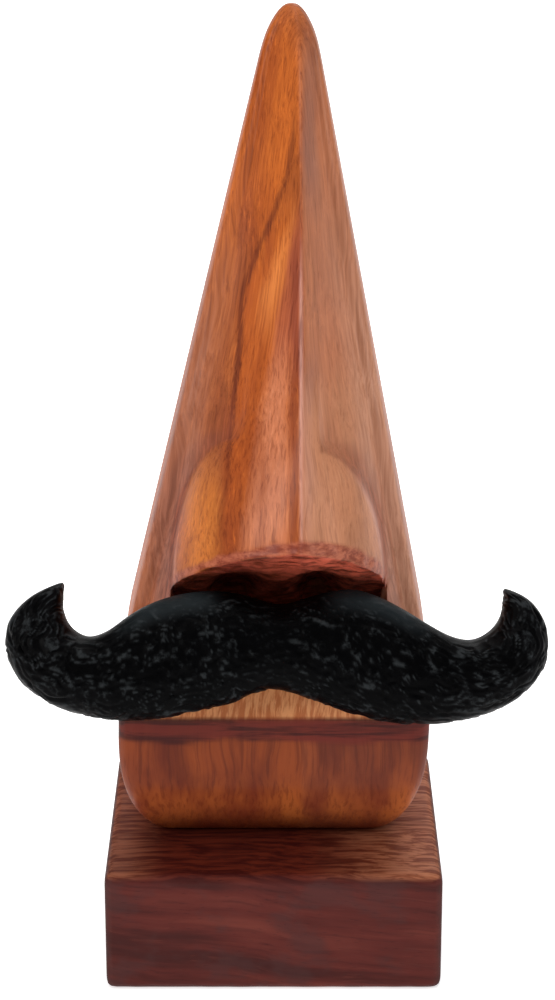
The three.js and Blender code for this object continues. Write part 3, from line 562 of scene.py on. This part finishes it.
class NOSESTAND_OT_nose(bpy.types.Operator):
    """Carves the nose, its cheeks and its lip"""
    bl_idname = "nosestand.nose"
    bl_label = "Nose"

    def execute(self, context):
        settings = context.scene.nose_settings
        piece = merged_copy("nose_body", "carved_nose")

        def crispness(edge, angle):
            on_lip = all(abs(v.co.z - LIP_Z) < 0.2 * MM and v.co.y < LIP_FRONT_Y + 3 * MM for v in edge.verts)
            return 0.95 if on_lip else 0.9 * min(1, max(0, (angle - 16) / 34))

        crease_edges(piece, crispness)
        modifier(piece, "SUBSURF", levels=settings.smoothing, render_levels=settings.smoothing)
        self.carve(piece, settings)
        smooth_faces(piece)
        finish_piece(piece, rosewood_nose(settings), "nose_wood", "nose_body")
        return {"FINISHED"}

    def carve(self, piece, settings):
        """Roughens what was cut by hand and left unsanded, and marks each kind of surface, among them where painted
        shade, painted light and a painted reflection go.
        """
        points = read_points(piece)
        normals = read_normals(piece)
        x, y, z = points[:, 0], points[:, 1], points[:, 2]
        up = z - BODY_LOW.z

        # The underside of the nose, and the rim just above it on the front.
        middle = np.abs(x - WING_MIDDLE)
        between = step(-middle, -18.8 * MM, -17.6 * MM)
        facing_down = step(-normals[:, 2], 0.05, 0.45)
        under = facing_down * step(up, 36 * MM, 40 * MM) * step(-up, -61 * MM, -58 * MM)
        under *= step(-middle, -19.5 * MM, -18.2 * MM)
        rim = self.rim_share(x, points, normals, between)
        offsets = np.zeros(len(points))
        for i in np.nonzero((under > 0.01) | (rim > 0.01))[0]:
            place = Vector(points[i]) / settings.chisel_size
            place.x *= 0.7
            cell = noise.noise(place) + 0.5 * noise.noise(place * 2.3)
            offsets[i] = settings.chisel_depth * cell * (under[i] + 0.45 * rim[i] * (1 - under[i]))
        points += normals * offsets[:, None]
        write_points(piece, points)

        front = step(-y, 6 * MM, 9 * MM)
        ragged = np.array([1.1 * MM * noise.noise(Vector((p[0], p[1], 0)) / (5 * MM)) for p in points])
        lip = step(-up, -25.4 * MM, -24.6 * MM) * step(-y, -6 * MM, 12 * MM)
        seat = step(up, 24.6 * MM, 25.2 * MM) * step(-up, -35 * MM, -33.5 * MM) * front
        band = step(up + ragged, 20.4 * MM, 21.4 * MM) * step(-up, -25.6 * MM, -24.9 * MM) * front
        outside = middle - self.wing_half(up)
        # cheek mask: partly painted shade, strongest right beside the wings, weaker further out, on the right and
        # towards the back
        cheek = step(outside, -0.3 * MM, 0.4 * MM) * step(-up, -84 * MM, -60 * MM) * step(up, 34 * MM, 36 * MM)
        cheek *= 1 - 0.75 * step(outside, 1.6 * MM, 4.6 * MM)
        cheek *= 1 - 0.22 * step(x, -2 * MM, 6 * MM)
        cheek *= step(-y, -20 * MM, -8 * MM)
        edge = self.edge_distance(x, up)
        # where the painted reflection goes along the blank's sloping sides, on front-facing surfaces
        side_reflection = step(-edge, -6.5 * MM, -1.8 * MM) * step(up, 34 * MM, 40 * MM)
        side_reflection *= step(-up, -126 * MM, -70 * MM)
        write_share(piece, "hand_cut", under)
        write_share(piece, "rim", rim * (1 - under))
        write_share(piece, "lip", lip)
        write_share(piece, "seat", seat)
        write_share(piece, "end_grain", band)
        write_share(piece, "cheek", cheek)
        write_share(piece, "side_reflection", side_reflection * step(-normals[:, 1], 0.1, 0.4))

    def wing_half(self, up):
        """Half the distance between the wings' outer edges at a height: an arc, then nearly straight."""
        rise = np.clip((up - WING_LOW) / WING_RISE, 0, WING_ARC)
        return WING_NARROW + (WING_SPREAD - WING_NARROW) * np.sqrt(1 - rise ** 2)

    def edge_distance(self, x, up):
        """How far in from the blank's own sloping side a point lies."""
        centre = 3 * MM * (up - 20 * MM) / (118.8 * MM)
        half = 26.3 * MM - 0.2134 * np.maximum(0, up - 30.7 * MM)
        return half - np.abs(x - centre)

    def rim_share(self, x, points, normals, between):
        """A band on the nose's front, above its underside and a little wider on the right."""
        up = points[:, 2] - BODY_LOW.z
        depth = BODY_HIGH.y - points[:, 1]
        sawn = RIM_TIP_UP - (RIM_TIP_DEPTH - depth) / RIM_SLOPE
        above = up - sawn
        width = (2.0 + 1.2 * step(x, -6 * MM, 12 * MM)) * MM
        wobble = np.array([0.9 * MM * noise.noise(Vector(p) / (3.5 * MM)) for p in points])
        share = step(-(above + wobble), -width - 0.5 * MM, -width + 0.5 * MM)
        return share * step(above, -0.6 * MM, 0) * between * step(-normals[:, 1], 0.0, 0.3)


class NOSESTAND_OT_plinth(bpy.types.Operator):
    """Makes the plinth, with slightly worn edges"""
    bl_idname = "nosestand.plinth"
    bl_label = "Plinth"

    def execute(self, context):
        settings = context.scene.plinth_settings
        piece = merged_copy("plinth", "worn_plinth")
        modifier(piece, "REMESH", mode="VOXEL", voxel_size=0.0006, use_smooth_shade=True)
        modifier(piece, "SMOOTH", factor=0.5, iterations=2)
        points = read_points(piece)
        normals = read_normals(piece)
        sizes = np.abs(normals).max(axis=1)
        corner = step(-sizes, -0.995, -0.80)
        offsets = np.zeros(len(points))
        for i in np.nonzero(corner > 0.02)[0]:
            place = Vector(points[i]) / (4 * MM)
            offsets[i] = -settings.wear * corner[i] * max(0.0, 0.25 + noise.noise(place))
        write_points(piece, points + normals * offsets[:, None])
        write_share(piece, "top", step(normals[:, 2], 0.4, 0.8))
        write_share(piece, "ends", step(np.abs(normals[:, 0]), 0.4, 0.8))
        smooth_faces(piece)
        finish_piece(piece, rosewood_plinth(settings), "plinth_wood", "plinth")
        return {"FINISHED"}


class NOSESTAND_OT_moustache(bpy.types.Operator):
    """Chisels the moustache's hairs"""
    bl_idname = "nosestand.moustache"
    bl_label = "Moustache"

    def execute(self, context):
        settings = context.scene.moustache_settings
        piece = merged_copy("moustache", "chiselled_moustache")

        crease_edges(piece, lambda edge, angle: 0.8 if angle > 60 else 0)
        modifier(piece, "SUBSURF", levels=settings.smoothing, render_levels=settings.smoothing)
        self.chisel(piece, settings)
        smooth_faces(piece)
        finish_piece(piece, black_paint(settings), "black_paint", "moustache")
        return {"FINISHED"}

    def chisel(self, piece, settings):
        """Cuts short strokes that follow each half from the middle out to its curled tip."""
        points = read_points(piece)
        normals = read_normals(piece)
        seat = np.array((0.0, -math.cos(SEAT_LEAN), -math.sin(SEAT_LEAN)))
        up_seat = np.array((0.0, math.sin(SEAT_LEAN), math.cos(SEAT_LEAN)))
        origin = np.array((0.0, LIP_FRONT_Y, LIP_Z))
        across = points[:, 0]
        rise = (points - origin) @ up_seat
        facing = normals @ seat
        heights = np.zeros(len(points))
        along, aside = self.flow(across / MM, rise / MM)
        for i in np.nonzero(facing > -0.35)[0]:
            wander = noise.noise_vector(Vector(points[i]) / (4 * MM))
            place = Vector((along[i] / (settings.hair_length / MM) + 0.9 * wander.x,
                            aside[i] / (settings.hair_width / MM) + 1.6 * wander.y, 3.0 * np.sign(across[i])))
            stroke = noise.noise(place)
            finer = noise.noise(place * 1.9 + Vector((9, 4, 2)))
            heights[i] = 1 - 2 * abs(stroke) + 0.5 * finer - 0.55
        humps = step(-np.abs(np.abs(across) - 17 * MM), -10 * MM, -4 * MM) * step(normals[:, 2], 0.62, 0.95)
        middle = step(-np.abs(across), -6 * MM, -1 * MM)
        share = step(facing, -0.35, 0.1) * (1 - 0.6 * humps) * (1 - 0.5 * middle)
        offsets = settings.hair_depth * heights * share
        write_points(piece, points + normals * offsets[:, None])
        # the crest mask carries the painted glints: more on the curled tips as a painted reflection, fewer in the
        # middle as painted shade under the nose
        tips = 0.16 * step(np.abs(across), 24 * MM, 36 * MM)
        write_share(piece, "crest", step(heights + tips, 0.20, 0.52) * (1 - 0.7 * middle))
        # the upward-facing humps, where the painted sheen goes
        write_share(piece, "hump_sheen", humps)

    def flow(self, x, z):
        """How far along a half each point lies and how far to its side, from the half's middle line."""
        line = np.array(((0, 12.5), (7, 12.5), (14, 11), (21, 9.5), (28, 7), (34, 7), (39, 9.5), (41, 14),
                         (39.5, 18.5), (37, 22)), float)
        side = np.abs(x)
        best = np.full(len(x), 1e9)
        along = np.zeros(len(x))
        aside = np.zeros(len(x))
        walked = 0.0
        for a, b in zip(line[:-1], line[1:]):
            run = b - a
            length = np.hypot(*run)
            direction = run / length
            share = np.clip(((side - a[0]) * direction[0] + (z - a[1]) * direction[1]), 0, length)
            near_x = a[0] + share * direction[0]
            near_z = a[1] + share * direction[1]
            gap = np.hypot(side - near_x, z - near_z)
            turn = direction[0] * (z - near_z) - direction[1] * (side - near_x)
            closer = gap < best
            best = np.where(closer, gap, best)
            along = np.where(closer, walked + share, along)
            aside = np.where(closer, np.sign(turn) * gap, aside)
            walked += length
        return along, aside


class NOSESTAND_OT_fasteners(bpy.types.Operator):
    """Gives the screws and the pins their metal"""
    bl_idname = "nosestand.fasteners"
    bl_label = "Screws and Pins"

    def execute(self, context):
        settings = context.scene.metal_settings
        finishes = {"base_screw": zinc_plate(settings), "moustache_pin": drawn_steel(settings)}
        for name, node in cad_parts.items():
            for start, material in finishes.items():
                if name.startswith(start):
                    node.data.materials.clear()
                    node.data.materials.append(material)
        return {"FINISHED"}


class NOSESTAND_OT_stage(bpy.types.Operator):
    """Sets the floor, the lights and the camera"""
    bl_idname = "nosestand.stage"
    bl_label = "Stage"

    def execute(self, context):
        settings = context.scene.stage_settings
        bpy.ops.object.select_all(action="DESELECT")
        bpy.ops.mesh.primitive_circle_add(vertices=96, radius=settings.floor_radius, fill_type="NGON")
        floor = context.active_object
        floor.name = "floor"
        floor.data.materials.append(pale_floor())

        # (name, place, size, power, colour), each facing the stand's middle
        lights = (
            ("overhead", (0.0, 0.1, 1.5), 1.6, 13.0, (1.0, 1.0, 1.0)),
            ("left_key", (-1.2, -0.9, 0.9), 0.7, 13.0, (1.0, 0.98, 0.95)),
            ("right_fill", (1.3, -0.5, 0.6), 0.8, 7.0, (0.95, 0.96, 1.0)),
            ("back_fill", (0.2, 1.4, 0.9), 1.0, 6.0, (1.0, 1.0, 1.0)),
        )
        for name, place, size, power, tone in lights:
            bpy.ops.object.light_add(type="AREA", location=place)
            light = context.active_object
            light.name = name
            light.data.shape = "DISK"
            light.data.size = size
            light.data.energy = power
            light.data.color = tone
            aim = Vector((0, 0, 0.08)) - Vector(place)
            light.rotation_euler = aim.to_track_quat("-Z", "Y").to_euler()

        world = bpy.data.worlds.new("studio")
        world.use_nodes = True
        world.node_tree.nodes["Background"].inputs["Color"].default_value = (1, 1, 1, 1)
        world.node_tree.nodes["Background"].inputs["Strength"].default_value = 0.22
        context.scene.world = world
        context.scene.view_settings.view_transform = "Standard"

        bpy.ops.object.camera_add(location=settings.place, rotation=(math.pi / 2 - settings.tilt, 0, 0))
        camera = context.active_object
        camera.name = "camera"
        camera.data.lens = settings.lens
        camera.data.clip_start = 0.01
        camera.data.clip_end = 50
        bpy.context.scene.camera = camera
        return {"FINISHED"}


class NOSESTAND_PT_panel(bpy.types.Panel):
    bl_label = "Nose Stand"
    bl_idname = "NOSESTAND_PT_panel"
    bl_space_type = "VIEW_3D"
    bl_region_type = "UI"
    bl_category = "Nose Stand"

    def draw(self, context):
        for name, operators in SECTIONS.items():
            box = self.layout.box()
            group = getattr(context.scene, name)
            for key in group.__annotations__:
                box.prop(group, key)
            for operator in operators:
                box.operator(operator.bl_idname)


SETTINGS = {
    "nose_settings": NoseSettings,
    "plinth_settings": PlinthSettings,
    "moustache_settings": MoustacheSettings,
    "metal_settings": MetalSettings,
    "stage_settings": StageSettings,
}
SECTIONS = {
    "nose_settings": (NOSESTAND_OT_nose,),
    "plinth_settings": (NOSESTAND_OT_plinth,),
    "moustache_settings": (NOSESTAND_OT_moustache,),
    "metal_settings": (NOSESTAND_OT_fasteners,),
    "stage_settings": (NOSESTAND_OT_stage,),
}
OPERATORS = [operator for section in SECTIONS.values() for operator in section]


def register():
    for item in (*SETTINGS.values(), *OPERATORS, NOSESTAND_PT_panel):
        bpy.utils.register_class(item)
    for name, group in SETTINGS.items():
        setattr(bpy.types.Scene, name, PointerProperty(type=group))


def unregister():
    for name in SETTINGS:
        delattr(bpy.types.Scene, name)
    for item in reversed((*SETTINGS.values(), *OPERATORS, NOSESTAND_PT_panel)):
        bpy.utils.unregister_class(item)


def main():
    register()
    bpy.ops.nosestand.nose()
    bpy.ops.nosestand.plinth()
    bpy.ops.nosestand.moustache()
    bpy.ops.nosestand.fasteners()
    bpy.ops.nosestand.stage()


if __name__ == "__main__":
    main()
